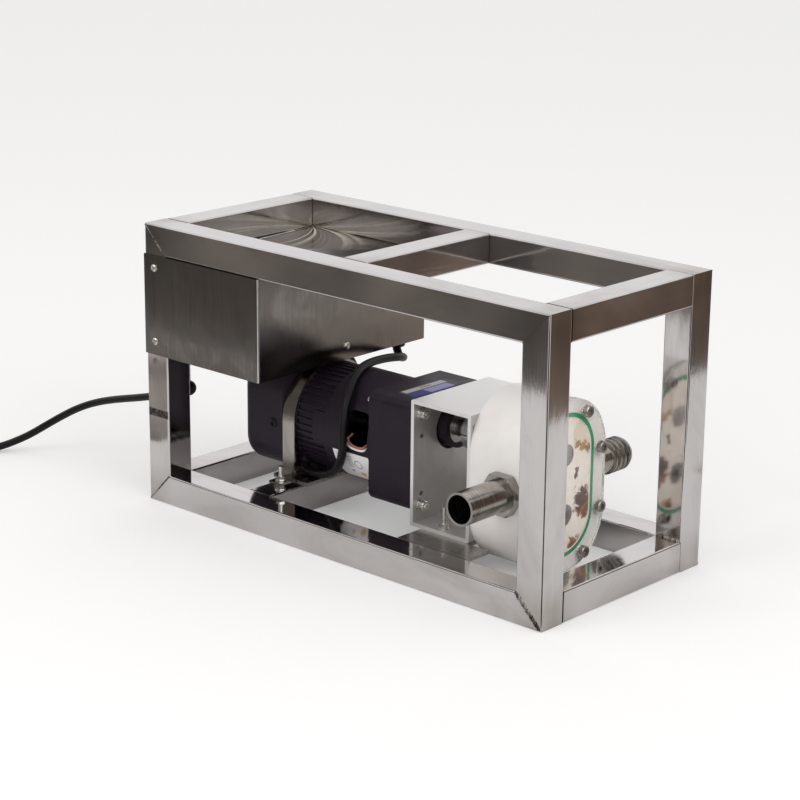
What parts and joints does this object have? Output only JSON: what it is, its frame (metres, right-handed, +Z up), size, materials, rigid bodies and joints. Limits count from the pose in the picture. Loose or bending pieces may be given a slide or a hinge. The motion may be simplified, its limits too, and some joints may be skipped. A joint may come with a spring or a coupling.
{
  "type": "gear pump",
  "caption": "Bench gear pump: a geared motor drives a twin-gear pump with a clear cover and hose tails, all inside a welded square-tube frame with a control box and a mains cord.",
  "frame": {"origin": "middle of the frame's footprint, on the surface it stands on", "axes": "+X along the frame towards the pump, +Y away from the side with the plain hose tail, +Z up"},
  "size_m": [0.7075, 0.3071, 0.237],
  "materials": {
    "tube_steel": "satin brushed stainless tube",
    "sheet_steel": "fine brushed stainless sheet",
    "bracket_steel": "cut and turned stainless, satin",
    "bolt_steel": "bright stainless fasteners",
    "shaft_steel": "ground steel",
    "coupling_alloy": "turned, satin",
    "black_paint": "satin black over cast alloy",
    "black_plastic": "moulded, fine grain",
    "black_rubber": "smooth black",
    "can_alloy": "drawn can",
    "core_steel": "laminated core",
    "white_plastic": "machined white plastic, satin",
    "wear_plastic": "machined cream plastic",
    "clear_plastic": "clear polished plastic",
    "green_rubber": "smooth green",
    "bush_bronze": "sintered bronze",
    "wire_insulation": "thin wire insulation"
  },
  "bodies": {
    "frame": {"near_bottom_rail": "tube_steel", "near_top_rail": "tube_steel", "near_left_post": "tube_steel", "near_right_post": "tube_steel", "far_bottom_rail": "tube_steel", "far_top_rail": "tube_steel", "far_left_post": "tube_steel", "far_right_post": "tube_steel", "top_left_tube": "tube_steel", "top_middle_tube": "tube_steel", "top_right_tube": "tube_steel", "bottom_left_tube": "tube_steel", "bottom_right_tube": "tube_steel", "motor_cross_tube": "tube_steel", "pump_deck_plate": "tube_steel", "control_box_wrap": "sheet_steel", "control_box_tray": "sheet_steel", "control_box_lid": "sheet_steel", "control_box_screws": "bolt_steel", "cable_grommet": "black_rubber", "mains_gland": "black_plastic", "run_capacitor": "can_alloy", "terminal_block": "black_plastic", "fan_cover": "black_paint", "rear_shield": "black_paint", "motor_housing": "black_paint", "front_shield": "black_paint", "stator": "core_steel", "shaft_bearings": "shaft_steel", "motor_strap": "tube_steel", "strap_bolts": "bolt_steel", "motor_base_plate": "tube_steel", "rubber_pads": "black_rubber", "gearbox_housing": "black_paint", "pump_bracket": "bracket_steel", "bracket_bolts": "bolt_steel", "pump_body": "white_plastic", "wear_plate": "wear_plastic", "pump_cover": "clear_plastic", "cover_seal": "green_rubber", "cover_screws": "bolt_steel", "shaft_bushes": "bush_bronze", "shaft_seal": "black_rubber", "near_hose_tail": "bracket_steel", "far_hose_barb": "bracket_steel", "motor_cable": "black_rubber", "motor_leads": "wire_insulation", "mains_cord": "black_rubber", "cord_coil": "black_rubber", "mains_plug": "black_plastic"},
    "drive_train": {"output_gear": "shaft_steel", "output_shaft": "shaft_steel", "shaft_coupling": "coupling_alloy", "drive_shaft": "shaft_steel", "drive_gear": "wear_plastic"},
    "driven_train": {"driven_gear": "wear_plastic", "driven_shaft": "shaft_steel"},
    "motor_rotor": {"rotor_core": "core_steel", "motor_shaft": "shaft_steel", "cooling_fan": "black_plastic"}
  },
  "joints": [
    {"name": "drive_spin", "type": "hinge", "parent": "frame", "child": "drive_train", "pos_m": [0.09, 0, 0.0985], "axis": [1, 0, 0], "continuous": true},
    {"name": "driven_spin", "type": "hinge", "parent": "frame", "child": "driven_train", "pos_m": [0.13, 0, 0.0505], "axis": [1, 0, 0], "continuous": true},
    {"name": "motor_spin", "type": "hinge", "parent": "frame", "child": "motor_rotor", "pos_m": [-0.06, 0, 0.0805], "axis": [1, 0, 0], "continuous": true}
  ],
  "couplings": [
    {"joint": "driven_spin", "follows": "drive_spin", "ratio": -1},
    {"joint": "motor_spin", "follows": "drive_spin", "ratio": -3}
  ]
}
